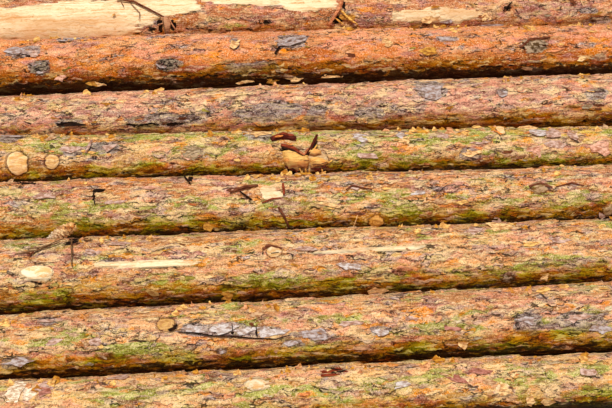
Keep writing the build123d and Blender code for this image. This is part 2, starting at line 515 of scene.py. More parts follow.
def log_mesh(log):
    """A closed log: bark round it, and a sawn face with its own rings at each end."""
    front = log.place == 1
    places = ring_places(log, front)
    angles = ring_angles(front)
    nx, na = len(places), len(angles)
    x = np.repeat(places, na)
    angle = np.tile(angles, nx)
    y0, z0, radius = log.at(x)
    peeled = spot_mask(log, x, angle, radius, peeled_spots)
    peeled *= 1 - spot_mask(log, x, angle, radius, left_bark_spots)
    kinds = (grey_spots, green_spots, orange_spots, mauve_spots, dark_and_shadow_spots)
    grey, green, orange, mauve, dark = [spot_mask(log, x, angle, radius, spots) for spots in kinds]
    green += tier_moss[log.tier] + (0 if front else hidden_moss)
    orange += tier_amber[log.tier]
    knot, rise, clean, pale = knot_field(log, x, angle, radius)
    relief = bark_relief(log, x, angle, radius, peeled)
    face = 1 - smooth_step(0.85, 1.0, knot)
    collar = (1 - smooth_step(1.0, 1.9, knot)) * (1 - face)
    relief = relief * (1 - face) + rise * face + rise * collar * 0.55
    rim = radius + relief
    y = y0 - np.cos(angle) * rim
    z = z0 + np.sin(angle) * rim

    # The mesh's ends lean as the saw left them
    reach = (x - log.left) / (log.right - log.left)
    lean_left = (y - y0) * log.left_slope * (1 - smooth_step(0, 0.02, reach))
    lean_right = (y - y0) * log.right_slope * smooth_step(0.98, 1, reach)
    bark_points = np.stack([x + lean_left + lean_right, y, z], 1)
    columns = np.arange(na)
    after = (columns + 1) % na
    bark_quads = []
    for a in range(0, (nx - 1) * na, na):
        bark_quads.append(np.stack([a + columns, a + after, a + na + after, a + na + columns], 1))

    # Sawn faces, a few rings deep to the pith
    end_size = len(end_ring_shares) * na + 1
    last = (nx - 1) * na
    left_end = sawn_end(bark_points[:na], 0, nx * na, False)
    right_end = sawn_end(bark_points[last:], last, nx * na + end_size, True)
    points = np.concatenate([bark_points] + left_end[0] + right_end[0])
    points = np.clip(points, np.array(cad_low) + bark_inset, np.array(cad_high) - bark_inset)
    quads = np.concatenate(bark_quads + left_end[1] + right_end[1])
    triangles = np.concatenate([left_end[2], right_end[2]])

    mesh = bpy.data.meshes.new(log.name + "_bark")
    mesh.from_pydata(points.tolist(), [], quads.tolist() + triangles.tolist())
    material_of_face = np.zeros(len(quads) + len(triangles), np.int32)
    material_of_face[(nx - 1) * na:] = 1
    mesh.polygons.foreach_set("material_index", material_of_face)
    mesh.polygons.foreach_set("use_smooth", np.ones(len(material_of_face), bool))

    def with_ends(values, at_ends=0.0):
        """Values at the bark's points, then those at the points of the sawn ends."""
        return np.concatenate([values, np.broadcast_to(at_ends, 2 * end_size)])

    tint = np.concatenate([tint_field(log, x, angle, radius), np.tile(linear(wood_tan), (2 * end_size, 1))])
    shade_shift = np.interp(x, (near_left, near_right), tier_shade_rise[log.tier])
    # Painted shade on the underside, from the angle round the log, kept in the shade attribute
    under = smooth_step(0.35, -0.75, np.sin(angle)) + shade_shift
    radial = np.tile(np.append(np.repeat(end_ring_shares, na), 0), 2)
    calm = tier_calm[log.tier]
    fields = {
        "patches": [with_ends(grey), with_ends(green), with_ends(orange)],
        "marks": [with_ends(mauve), with_ends(dark), with_ends(peeled)],
        "branch": [with_ends(np.minimum(knot, 4) / 4, 1), with_ends(clean), with_ends(pale)],
        "shade": [with_ends(under), np.full(len(points), calm), with_ends(np.ones(len(x)), radial)],
    }
    store_colours(mesh, "tint", tint)
    for name, values in fields.items():
        store_colours(mesh, name, np.stack(values, 1))
    mesh.update()
    return mesh


class Value:
    """An output of a node that can be added, taken away and multiplied, each by a node of its own."""

    def __init__(self, nodes, socket):
        self.nodes = nodes
        self.socket = socket

    def __add__(self, other):
        return self.nodes.math("ADD", self, other)

    def __sub__(self, other):
        return self.nodes.math("SUBTRACT", self, other)

    def __rsub__(self, other):
        return self.nodes.math("SUBTRACT", other, self)

    def __mul__(self, other):
        return self.nodes.math("MULTIPLY", self, other)


class Nodes:
    """Short calls for building the nodes of a material or of the surround."""

    def __init__(self, owner):
        owner.use_nodes = True
        self.owner = owner
        self.tree = owner.node_tree
        self.colour = None

    def put(self, socket, value):
        if isinstance(value, Value):
            value = value.socket
        if isinstance(value, bpy.types.NodeSocket):
            self.tree.links.new(value, socket)
        elif isinstance(value, tuple) and len(value) == 3 and socket.type == "RGBA":
            socket.default_value = rgba(value)
        else:
            socket.default_value = value

    def node(self, kind, inputs, **settings):
        node = self.tree.nodes.new("ShaderNode" + kind)
        for key, value in settings.items():
            setattr(node, key, value)
        for key, value in inputs.items():
            self.put(node.inputs[key], value)
        return node

    def value(self, kind, inputs, output=0, **settings):
        return Value(self, self.node(kind, inputs, **settings).outputs[output])

    def place(self):
        return self.value("TexCoord", {}, "Object")

    def attribute(self, name):
        return self.value("Attribute", {}, "Color", attribute_name=name)

    def split(self, colour):
        outputs = self.node("SeparateColor", {"Color": colour}).outputs
        return [Value(self, outputs[i]) for i in range(3)]

    def stretched(self, vector, x, y=1):
        return self.value("Mapping", {"Vector": vector, "Scale": (x, y, 1)})

    def noise(self, vector, scale, detail=4, roughness=0.6, layer=0.0):
        """Noise from about 0 to 1. Layers with different numbers don't match."""
        inputs = {"Vector": vector, "Scale": scale, "Detail": detail, "Roughness": roughness, "W": layer}
        return self.value("TexNoise", inputs, noise_dimensions="4D")

    def voronoi(self, vector, scale, output="Color", feature="F1"):
        return self.value("TexVoronoi", {"Vector": vector, "Scale": scale}, output, feature=feature)

    def math(self, operation, a, b=0.0):
        return self.value("Math", {0: a, 1: b}, operation=operation)

    def vector(self, operation, a, b):
        return self.value("VectorMath", {0: a, 1: b}, operation=operation)

    def scaled(self, vector, share):
        return self.value("VectorMath", {0: vector, 3: share}, operation="SCALE")

    def mix(self, factor, a, b, blend="MIX"):
        return self.value("Mix", {0: factor, 6: a, 7: b}, 2, data_type="RGBA", blend_type=blend)

    def paint(self, share, colour, blend="MIX"):
        """Lays a colour over the colour so far, where share is above 0."""
        self.colour = self.mix(share, self.colour, colour, blend)

    def step(self, value, low, high):
        """0 below low, 1 above high, and a smooth change between them."""
        inputs = {"Value": value, "From Min": low, "From Max": high}
        return self.value("MapRange", inputs, interpolation_type="SMOOTHSTEP")

    def ramp(self, value, stops, interpolation="LINEAR"):
        node = self.node("ValToRGB", {"Fac": value})
        node.color_ramp.interpolation = interpolation
        elements = node.color_ramp.elements
        while len(elements) < len(stops):
            elements.new(0.5)
        for element, (position, colour) in zip(elements, stops):
            element.position = position
            element.color = rgba(colour)
        return Value(self, node.outputs[0])

    def ragged(self, mask, noise, reach, sharp):
        """A soft mask given a crisp, ragged edge by noise."""
        return self.step(mask + (noise - 0.5) * reach, 0.5 - sharp, 0.5 + sharp)

    def patches(self, noise, level, soft):
        """Patches where noise is above a level."""
        return self.step(noise, level - soft, level + soft)

    def surface(self, colour, fine, roughness, height, strength, depth, shine=wood_shine):
        """Sets the shader. Roughness runs between two values with the noise called fine."""
        low, high = roughness
        shader = self.tree.nodes["Principled BSDF"].inputs
        self.put(shader["Base Color"], colour)
        self.put(shader["Specular IOR Level"], shine)
        rough = {"Value": fine, "To Min": low, "To Max": high}
        relief = {"Height": height, "Strength": strength, "Distance": depth}
        self.put(shader["Roughness"], self.value("MapRange", rough))
        self.put(shader["Normal"], self.value("Bump", relief))
        return self.owner


scale_tones = [
    (0.0, (0.80, 0.66, 0.58)), (0.28, (0.97, 0.83, 0.62)), (0.52, (0.64, 0.45, 0.38)),
    (0.68, (0.92, 0.64, 0.42)), (0.86, (0.86, 0.74, 0.48)),
]
ash_tones = [(0.38, (0.14, 0.10, 0.09)), (0.45, (0.52, 0.44, 0.42)), (0.58, (0.82, 0.74, 0.70))]
wood_tones = [(0.32, (0.80, 0.61, 0.40)), (0.5, wood_cream), (0.7, (0.96, 0.90, 0.76))]


def bark_material():
    """Thin flaking pine bark: layered patches, with moss, grey bark, peeled wood and knots, and painted
    shade and shadow.
    """
    n = Nodes(bpy.data.materials.new("pine_bark"))
    place = n.place()
    warp = n.value("TexNoise", {"Vector": place, "Scale": 45, "Detail": 5}, 1)
    bent = n.vector("ADD", place, n.scaled(n.vector("SUBTRACT", warp, (0.5, 0.5, 0.5)), 0.016))
    long = n.stretched(bent, 0.34)
    longer = n.stretched(bent, 0.15)
    tint = n.attribute("tint")
    shade, calm = n.split(n.attribute("shade"))[:2]
    lively = 1 - calm
    grey, green, orange = n.split(n.attribute("patches"))
    mauve, dark, peeled = n.split(n.attribute("marks"))
    knot, clean, light = n.split(n.attribute("branch"))

    broad = n.noise(long, 14, 3, 0.5, 1)
    mid = n.noise(long, 36, 4, 0.5, 2)
    other = n.noise(long, 44, 4, 0.5, 3)
    fine = n.noise(long, 110, 5, 0.65, 4)
    streak = n.noise(longer, 150, 5, 0.65, 5)
    speck = n.noise(bent, 330, 3, 0.7, 6)
    moss_noise = n.noise(long, 32, 4, 0.5, 7)
    plum_noise = n.noise(long, 50, 4, 0.5, 10)
    crinkle = n.noise(long, 150, 5, 0.7, 13)
    low_streak = n.noise(longer, 120, 4, 0.6, 15)

    # Soft ground colour, lighter and darker along the log
    deep_ground = n.mix(0.40, tint, (0.56, 0.36, 0.18))
    light_ground = n.mix(0.2, tint, (0.98, 0.80, 0.52))
    n.colour = n.mix(n.step(broad, 0.38, 0.62), deep_ground, light_ground)
    n.paint(n.patches(mid, 0.54, 0.03) * 0.62, (0.93, 0.65, 0.52))
    moss = n.mix(n.step(fine, 0.40, 0.60), (0.43, 0.48, 0.08), (0.70, 0.74, 0.38))
    n.paint(n.ragged(green * 0.62, moss_noise, 4.0, 0.2) * 0.82, moss)
    pale = n.patches(n.noise(long, 46, 4, 0.5, 8), 0.56, 0.02)
    n.paint(pale * (lively * 0.62), (1.0, 0.86, 0.62))
    amber = n.ragged(orange * 0.6, n.noise(long, 50, 3, 0.5, 9), 4.0, 0.16)
    # Orange bark, weaker where the painted shade of the underside lies
    n.paint(amber * (0.75 - n.step(shade, 0.2, 0.5) * 0.45), (0.95, 0.62, 0.28))
    wine = n.mix(n.step(fine, 0.42, 0.58), (0.42, 0.22, 0.20), (0.82, 0.60, 0.56))
    n.paint(n.ragged(mauve * 0.5 + 0.08, plum_noise, 4.0, 0.12) * 0.68, wine)

    # Thin scales in two sizes: each has its own tone, and a painted shadow line below it
    scale_shadow = 0.0
    some = n.step(other, 0.46, 0.50)
    for size, level, drop in ((64, 0.60, 0.0032), (118, 0.66, 0.0022)):
        number, choice = n.split(n.voronoi(long, size))[:2]
        above = n.vector("ADD", long, (0.001, -0.0008, drop))
        number_above = n.split(n.voronoi(above, size))[0]
        lifted = n.patches(number, level, 0.02) * some
        lifted_above = n.patches(number_above, level, 0.02) * some
        n.paint(lifted * (lively * 0.72), n.ramp(choice, scale_tones, "CONSTANT"))
        edge = lifted_above * (1 - lifted)
        scale_shadow = n.math("MAXIMUM", scale_shadow, edge * n.step(fine, 0.46, 0.54))
    gap = n.voronoi(long, 62, "Distance", "DISTANCE_TO_EDGE")
    rim = n.step(gap, 0.08, 0.01) * (n.step(other, 0.50, 0.55) * n.step(fine, 0.47, 0.54))

    # Grey bark, streaked with black
    n.paint(n.ragged(grey, other, 3.4, 0.14) * 0.85, n.ramp(crinkle, ash_tones))

    # Streaks, dashes and specks
    n.paint(n.step(streak, 0.53, 0.58) * (lively * 0.5), (1.0, 0.89, 0.68))
    n.paint(n.step(streak, 0.46, 0.41) * (lively * 0.6), (0.40, 0.20, 0.10))
    n.paint(n.step(speck, 0.55, 0.62) * 0.6, (1.0, 0.90, 0.74))
    n.paint(n.step(speck, 0.44, 0.36) * 0.75, (0.25, 0.12, 0.06))
    slit = n.math("ABSOLUTE", n.noise(longer, 46, 4, 0.7, 11) - 0.5)
    crack = n.step(slit, 0.014, 0.003) * n.step(other, 0.51, 0.56)
    # Dark crevices and cracks, and the painted shadow lines below the scales
    crevices_and_shadows = n.math("MAXIMUM", n.math("MAXIMUM", rim, crack), scale_shadow)
    n.paint(crevices_and_shadows * 0.9, crack_and_shadow_brown)
    # Dark spots, partly painted shadow under the broken stub and the pine cone
    n.paint(n.ragged(dark * 0.9, fine, 2.6, 0.12), (0.10, 0.05, 0.02))

    # Peeled wood, with fine grain along it
    wood = n.ramp(n.noise(n.stretched(bent, 0.03), 240, 4, 0.6, 12), wood_tones)
    wood = n.mix(n.step(broad, 0.5, 0.66) * 0.45, wood, (0.80, 0.56, 0.32))
    bare = n.ragged(peeled, mid, 1.8, 0.05)
    n.paint(bare, wood)

    # Painted shade on the underside, darker still and black near the gap below, tinted olive where moss
    # grows and weaker on peeled wood
    low = shade + (mid - 0.5) * 1.6
    shade_cover = 1 - bare * 0.75
    underside_shade = n.step(low, 0.22, 0.75) * shade_cover
    mossy = n.step(moss_noise, 0.46, 0.56) * n.step(green, 0.0, 0.2)
    shade_tone = n.mix(mossy, (0.93, 0.87, 0.66), (0.86, 0.90, 0.54))
    shade_tone = n.mix(n.step(plum_noise, 0.50, 0.57), shade_tone, (0.94, 0.82, 0.76))
    n.paint(underside_shade, shade_tone, "MULTIPLY")
    n.paint(n.step(low, 0.55, 0.9) * shade_cover, (0.80, 0.74, 0.54), "MULTIPLY")
    shade_streak_tone = n.mix(0.5, shade_tone, (0.88, 0.68, 0.36))
    n.paint(underside_shade * (n.step(low_streak, 0.54, 0.60) * 0.6), shade_streak_tone)
    n.paint(underside_shade * (n.step(low_streak, 0.45, 0.38) * 0.7), (0.26, 0.14, 0.04))
    # Painted shadow in the gap below each log
    black = n.step(shade + (fine - 0.5) * 0.9, 0.86, 1.0)
    n.paint(black * (shade_cover * 0.9), (0.10, 0.045, 0.01))

    # Knots, with rings on their faces
    far = knot * 4
    rings = n.math("SINE", far * 13 + fine * 22)
    heart = n.mix(n.step(rings, -0.9, 1.0), (0.80, 0.56, 0.26), (0.92, 0.72, 0.38))
    heart = n.mix(n.step(streak, 0.52, 0.44) * 0.5, heart, (0.60, 0.36, 0.14))
    pale_heart = n.mix(n.step(streak, 0.4, 0.6), (0.92, 0.74, 0.50), (0.97, 0.92, 0.78))
    rough_heart = n.mix(n.step(crinkle, 0.44, 0.56), (0.16, 0.12, 0.09), (0.68, 0.60, 0.50))
    wobble = far + (fine - 0.5) * (4.4 - clean * 3.8)
    n.paint(n.step(wobble, 0.98, 0.88), n.mix(clean, rough_heart, n.mix(light, heart, pale_heart)))
    ring = n.step(n.math("ABSOLUTE", wobble - 1.06), 0.16, 0.03)
    n.paint(ring * (0.65 - light * light * 0.6), (0.36, 0.17, 0.09))

    colour = n.value("HueSaturation", {"Hue": 0.493, "Saturation": 1.08, "Value": 1.12, "Color": n.colour})
    height = pale * 0.7 + fine * 1.6 + streak * (lively * 1.5) + crinkle * (grey * 2.4)
    smooth = n.math("MAXIMUM", peeled, n.step(knot, 0.26, 0.24) * clean)
    return n.surface(colour, fine, (0.62, 0.9), height * (1 - smooth * 0.8), 1.0, 0.005, bark_shine)


def sawn_material():
    """Sawn end of a log: growth rings, redder heartwood, a rim of bark and saw marks."""
    n = Nodes(bpy.data.materials.new("sawn_pine"))
    place = n.place()
    radial = n.split(n.attribute("shade"))[2]
    fine = n.noise(n.stretched(place, 0.2), 60, 4, 0.6)
    marks = n.noise(n.stretched(place, 1, 0.06), 420, 2, 0.5)
    waves = n.math("SINE", radial * 170 + (fine - 0.5) * 16)
    n.colour = n.mix(n.step(waves, -0.2, 0.9), (0.94, 0.80, 0.54), (0.78, 0.54, 0.28))
    n.paint(n.step(radial + fine * 0.16, 0.60, 0.52) * 0.5, (0.80, 0.50, 0.28))
    n.paint(n.step(marks, 0.45, 0.62) * 0.3, (0.98, 0.90, 0.70))
    n.paint(n.step(radial, 0.955, 0.965), (0.34, 0.19, 0.11))
    n.paint(n.step(radial, 0.02, 0.012), (0.40, 0.22, 0.10))
    return n.surface(n.colour, fine, (0.6, 0.85), marks + waves * 0.15, 0.5, 0.001)


def flake_material(name, outer):
    """One side of the loose scales: papery, with its own tone from scale to scale."""
    n = Nodes(bpy.data.materials.new(name))
    place = n.place()
    fine = n.noise(n.stretched(place, 0.5), 170, 4, 0.65, 2)
    streak = n.noise(n.stretched(place, 0.2), 260, 4, 0.65, 5)
    tone = n.attribute("tone")
    dull = n.mix(1.0, tone, (0.80, 0.68, 0.60), "MULTIPLY")
    n.colour = n.mix(n.step(fine, 0.40, 0.60), dull, n.scaled(tone, 1.18))
    n.paint(n.step(streak, 0.47, 0.41) * (0.6 - n.split(tone)[2] * 0.6), (0.30, 0.15, 0.08))
    if not outer:
        n.paint(0.6, n.mix(n.step(fine, 0.4, 0.6), (0.62, 0.38, 0.12), (0.88, 0.66, 0.28)))
    return n.surface(n.colour, fine, (0.6, 0.85), fine, 0.7, 0.002, bark_shine)


def split_wood_material():
    """Bare, broken wood: tan, with grain and dark splits along it."""
    n = Nodes(bpy.data.materials.new("split_wood"))
    place = n.place()
    grain = n.noise(n.stretched(place, 0.12), 260, 4, 0.6, 6)
    patch = n.noise(n.stretched(place, 0.5), 60, 4, 0.6, 7)
    tone = n.attribute("tone")
    deep = n.mix(0.35, tone, (0.62, 0.34, 0.12))
    n.colour = n.mix(n.step(grain, 0.42, 0.60), deep, n.mix(0.12, tone, (1.0, 0.86, 0.56)))
    n.paint(n.step(patch, 0.48, 0.62) * 0.6, (1.0, 0.72, 0.44), "MULTIPLY")
    n.paint(n.step(grain, 0.40, 0.34) * 0.8, (0.36, 0.18, 0.08))
    return n.surface(n.colour, grain, (0.55, 0.8), grain, 0.9, 0.003)


# How much darker each of red, green and blue turns where a tone is shaded
shade_powers = (1.6, 2.2, 2.6)


class Pieces:
    """Collects many small closed forms into one mesh."""

    def __init__(self, name):
        self.name = name
        self.points = []
        self.faces = []
        self.sides = []
        self.tones = []
        self.count = 0

    def add(self, points, faces, sides, tone, shades=None):
        self.points.append(np.asarray(points))
        self.faces += [[i + self.count for i in face] for face in faces]
        self.sides += sides
        tones_here = np.tile(linear(tone), (len(points), 1))
        if shades:
            tones_here = tones_here * np.array(shades)[:, None] ** shade_powers
        self.tones.append(tones_here)
        self.count += len(points)

    def finish(self, materials):
        points = np.clip(np.concatenate(self.points), np.array(cad_low), np.array(cad_high))
        mesh = bpy.data.meshes.new(self.name)
        mesh.from_pydata(points.tolist(), [], self.faces)
        mesh.polygons.foreach_set("material_index", np.array(self.sides, np.int32))
        store_colours(mesh, "tone", np.concatenate(self.tones))
        for material in materials:
            mesh.materials.append(material)
        mesh.update()
        piece = add_object(self.name, mesh)
        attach(piece, "root")


flake_sides = 10
flake_thickness = 0.0007
flake_rings = (0.0, 0.55, 1.0)
flake_sink = 0.0006


def relief_at(log, x, angle):
    """Height of the bark at one place on a log."""
    place = np.array([x])
    return float(bark_relief(log, place, np.array([angle]), log.at(place)[2], place * 0)[0])


def add_flake(pieces, log, x, angle, base, length, width, spin, up, lift, tone, point=0.0):
    """One papery scale, held along one side and curling off the log on the other.

    The free side faces down the log, or up it where up is 1, turned by spin.
    """
    radius = float(log.at(x)[2])
    around = (np.arange(flake_sides) + draw.uniform(-0.3, 0.3, flake_sides)) / flake_sides * tau
    rough = draw.uniform(0.42, 1.15, flake_sides)
    along = np.concatenate([np.zeros(1)] + [np.cos(around) * rough * share for share in flake_rings[1:]])
    out = np.concatenate([np.zeros(1)] + [np.sin(around) * rough * share for share in flake_rings[1:]])
    a = along * length / 2 * (1 - point * np.maximum(out, 0))
    b = out * width / 2
    rise = base - flake_sink + lift * ((out + 1) / 2) ** 2
    u = a * cos(spin) - b * sin(spin)
    v = (a * sin(spin) + b * cos(spin)) * (1 if up else -1)
    top = log.points(x + u, angle + v / radius, rise + flake_thickness)
    bottom = log.points(x + u, angle + v / radius, rise)
    bottom = np.clip(bottom, np.array(cad_low) + flake_thickness, np.array(cad_high) - flake_thickness)
    count = len(a)
    faces = []
    sides = []
    for i in range(flake_sides):
        j = (i + 1) % flake_sides
        inner, inner_next = 1 + i, 1 + j
        outer, outer_next = 1 + flake_sides + i, 1 + flake_sides + j
        near = [0, inner, inner_next]
        wide = [inner, outer, outer_next, inner_next]
        edge = [outer, outer + count, outer_next + count, outer_next]
        faces += [near, wide, [k + count for k in near[::-1]], [k + count for k in wide[::-1]], edge]
        sides += [0, 0, 1, 1, 1]
    if not up:
        faces = [face[::-1] for face in faces]
    pieces.add(np.concatenate([top, bottom]), faces, sides, tone)


def add_tube(pieces, points, widths, tone, sides=8, flatten=1.0):
    """A twig or a rolled strip of bark along a line of points."""
    points = [Vector(p) for p in points]
    verts = []
    for i, point in enumerate(points):
        ahead = points[min(i + 1, len(points) - 1)] - points[max(i - 1, 0)]
        ahead.normalize()
        across = ahead.cross(Vector((0.1, -0.3, 1))).normalized()
        outward = across.cross(ahead).normalized()
        for s in range(sides):
            a = s / sides * tau
            wobble = 1 + 0.16 * sin(3 * a + i * 1.7)
            offset = across * cos(a) * widths[i] * wobble + outward * sin(a) * widths[i] * flatten * wobble
            verts.append(point + offset)
    faces = []
    for i in range(len(points) - 1):
        for s in range(sides):
            t = (s + 1) % sides
            faces.append([i * sides + s, i * sides + t, (i + 1) * sides + t, (i + 1) * sides + s])
    faces.append(list(range(sides))[::-1])
    last = (len(points) - 1) * sides
    faces.append([last + s for s in range(sides)])
    pieces.add(verts, faces, [0] * len(faces), tone)


def add_block(pieces, tier, outline, reach, tone):
    """Broken wood: an outline on a log, carried outwards to a smaller, uneven face."""
    log = logs[tier, 1]
    reach = reach / 1000
    places = [place_on_log(tier, px, py) for px, py in outline]
    middle_x = sum(x for x, angle in places) / len(places)
    middle_angle = sum(angle for x, angle in places) / len(places)
    points = []
    for lift, share in ((-block_sink, 1.0), (reach * 0.45, 0.98), (reach * 0.85, 0.84), (reach, 0.55)):
        for x, angle in places:
            uneven = lift + draw.uniform(-block_roughness, block_roughness)
            x_here = middle_x + (x - middle_x) * share
            points.append(log.point(x_here, middle_angle + (angle - middle_angle) * share, uneven))
    points.append(log.point(middle_x, middle_angle, -block_sink))
    points.append(log.point(middle_x, middle_angle, reach * 1.1))
    rows = [py for px, py in outline]
    depths = [(row - min(rows)) / (max(rows) - min(rows)) for row in rows]
    # Painted shade: the block's tone darker towards its lower edge, and at its sunk base and middle
    shades = [1 - 0.55 * float(smooth_step(0.35, 0.9, depth)) for depth in depths]
    shades = [0.3] * len(places) + shades * 3 + [0.3, 1]
    count = len(places)
    faces = []
    for i in range(count):
        j = (i + 1) % count
        faces.append([i, j, 4 * count])
        for layer in (0, count, 2 * count):
            faces.append([layer + i, layer + count + i, layer + count + j, layer + j])
        faces.append([3 * count + j, 3 * count + i, 4 * count + 1])
    pieces.add(points, faces, [2] * len(faces), tone, shades)


# Tones of loose scales and twigs, as they look
tones = {
    "cream": (0.94, 0.77, 0.53), "mauve": (0.80, 0.67, 0.60), "grey": (0.72, 0.66, 0.64),
    "ash": (0.80, 0.75, 0.72), "brown": (0.46, 0.26, 0.17), "ochre": (0.80, 0.58, 0.24),
    "black": (0.13, 0.07, 0.03), "pink": (0.88, 0.67, 0.56), "red": (0.56, 0.24, 0.14),
    "maroon": (0.34, 0.12, 0.08), "orange": (0.93, 0.58, 0.28), "twig": (0.50, 0.38, 0.26),
    "stub": (0.98, 0.76, 0.38), "white": (0.95, 0.88, 0.76), "rose": (0.72, 0.48, 0.41),
    "twig_wood": (0.78, 0.54, 0.38), "salmon": (0.86, 0.56, 0.38), "moss": (0.62, 0.58, 0.28),
}
common_tones = [
    "cream", "mauve", "pink", "salmon", "cream", "ochre", "mauve", "brown", "mauve", "moss", "cream", "ash",
]
gap_tones = ["cream", "ochre", "cream", "mauve", "ochre", "pink"]

# Single scales that stand out, by tier: x, y, width and height in pixels of the
# photograph, lift in mm, tone, and 1 where the free side faces up
single_flakes = {
    8: [(492, 26, 26, 5, 4, "grey"), (449, 22, 17, 5, 4, "grey"), (347, 17, 16, 9, 6, "ochre"),
        (430, 19, 18, 7, 4, "cream"), (485, 17, 14, 7, 4, "cream")],
    7: [(70, 38, 26, 5, 3, "grey"), (235, 44, 13, 10, 4, "cream"), (292, 41, 28, 9, 8, "grey"),
        (387, 43, 14, 10, 4, "cream"), (448, 39, 22, 6, 3, "grey"), (528, 40, 18, 7, 6, "cream"),
        (584, 57, 16, 7, 4, "cream"), (14, 50, 18, 9, 5, "grey"), (35, 63, 12, 6, 6, "grey"),
        (42, 71, 13, 6, 7, "grey"), (163, 65, 13, 7, 7, "grey"), (174, 62, 13, 6, 7, "grey"),
        (60, 78, 14, 7, 6, "pink"), (92, 84, 14, 5, 6, "ochre"), (100, 84, 12, 4, 6, "cream"),
        (245, 82, 18, 4, 5, "cream"), (272, 81, 14, 6, 6, "ochre"), (296, 79, 18, 5, 6, "cream"),
        (330, 76, 26, 4, 5, "cream"), (428, 52, 20, 9, 4, "ochre"), (552, 50, 26, 5, 5, "salmon"),
        (34, 54, 14, 8, 5, "mauve")],
    6: [(122, 100, 20, 9, 3, "cream"), (70, 124, 26, 6, 5, "black"), (430, 91, 28, 16, 4, "grey"),
        (502, 93, 12, 8, 4, "grey")],
    5: [(72, 149, 24, 9, 5, "mauve"), (110, 147, 22, 10, 6, "mauve"), (191, 152, 20, 16, 4, "pink"),
        (12, 135, 26, 8, 3, "grey"), (256, 134, 30, 10, 3, "cream"), (438, 137, 20, 9, 5, "mauve"),
        (498, 122, 22, 7, 9, "ochre", 1), (526, 125, 18, 7, 8, "cream", 1), (471, 153, 20, 8, 6, "cream"),
        (553, 134, 16, 12, 5, "mauve"), (572, 136, 16, 12, 6, "mauve"), (535, 151, 14, 17, 4, "pink"),
        (600, 148, 22, 16, 5, "pink"), (484, 141, 30, 6, 4, "mauve"), (405, 140, 16, 8, 3, "cream"),
        (537, 129, 20, 14, 6, "ash"), (556, 144, 24, 10, 4, "mauve"), (497, 130, 12, 12, 7, "orange"),
        (403, 134, 16, 9, 4, "ash"), (360, 137, 20, 9, 3, "ash"), (366, 154, 26, 9, 4, "mauve")],
    4: [(44, 196, 24, 8, 4, "mauve"), (150, 188, 22, 7, 4, "pink"), (418, 192, 24, 8, 4, "ash"),
        (348, 236, 16, 7, 7, "cream", 1), (361, 231, 11, 6, 6, "ochre"), (496, 221, 12, 6, 5, "mauve"),
        (548, 222, 28, 9, 6, "mauve", 1), (208, 227, 14, 9, 6, "ochre"), (575, 184, 22, 7, 3, "mauve"),
        (242, 188, 26, 7, 4, "brown"), (354, 187, 18, 7, 5, "mauve"), (330, 205, 22, 5, 5, "cream"),
        (116, 201, 22, 6, 2, "mauve"), (606, 212, 12, 14, 5, "mauve")],
    3: [(90, 250, 24, 8, 4, "mauve"), (350, 266, 26, 8, 4, "ash"), (560, 240, 26, 9, 4, "mauve"),
        (210, 276, 20, 6, 4, "cream"), (377, 290, 22, 8, 5, "cream"), (545, 277, 10, 9, 4, "cream"),
        (500, 227, 34, 7, 8, "cream", 1), (475, 231, 26, 6, 6, "mauve", 1), (229, 296, 15, 8, 5, "ochre"),
        (305, 248, 26, 6, 4, "mauve"), (178, 240, 26, 6, 5, "cream", 1), (120, 243, 30, 6, 5, "mauve")],
    2: [(294, 343, 24, 6, 4, "grey"), (222, 351, 11, 7, 4, "grey"), (317, 335, 20, 14, 4, "grey"),
        (380, 331, 19, 11, 5, "ash"), (196, 327, 46, 11, 2, "ash"), (222, 329, 30, 12, 2, "ash"),
        (244, 330, 30, 12, 3, "ash"), (270, 331, 40, 14, 3, "ash"), (308, 333, 30, 11, 4, "grey"),
        (47, 320, 17, 7, 5, "mauve"), (530, 320, 26, 12, 4, "grey"), (575, 318, 34, 9, 5, "mauve"),
        (600, 328, 22, 9, 5, "grey"), (464, 345, 12, 7, 6, "cream"), (17, 362, 30, 8, 6, "grey"),
        (52, 342, 26, 9, 3, "mauve"), (96, 342, 15, 12, 3, "mauve"), (350, 322, 24, 8, 3, "mauve"),
        (414, 317, 22, 8, 3, "mauve"), (452, 328, 20, 7, 3, "rose")],
    1: [(120, 378, 24, 8, 4, "mauve"), (400, 384, 26, 9, 4, "ash"), (585, 372, 22, 8, 4, "mauve"),
        (45, 390, 20, 16, 3, "mauve"), (335, 373, 28, 16, 4, "red"), (455, 378, 26, 10, 3, "rose"),
        (478, 371, 26, 9, 3, "rose"), (16, 391, 26, 20, 1.2, "white"), (27, 394, 18, 14, 1.5, "white"),
        (44, 392, 20, 12, 3, "rose"), (504, 390, 16, 16, 3, "cream"), (530, 400, 10, 12, 7, "cream", 1),
        (548, 402, 16, 9, 7, "cream", 1)],
}

# Broken wood standing out of a log, by tier: outline in pixels, how far it
# stands out in mm, tone
broken_wood = {
    8: [([(161, 17), (167, 16), (171, 24), (169, 35), (166, 38), (164, 28)], 6, "twig_wood")],
    5: [
        ([(282, 152), (287, 150), (295, 152), (303, 156), (308, 155), (310, 161), (308, 168), (302, 167),
          (298, 170), (292, 167), (287, 168), (283, 160)], 18, "stub"),
        ([(309, 158), (315, 157), (322, 158), (329, 161), (325, 165), (317, 166), (310, 168)], 13, "stub"),
        ([(307, 151), (313, 149), (321, 151), (322, 155), (314, 157), (308, 155)], 12, "stub")],
}
block_sink = 0.008
block_roughness = 0.0015

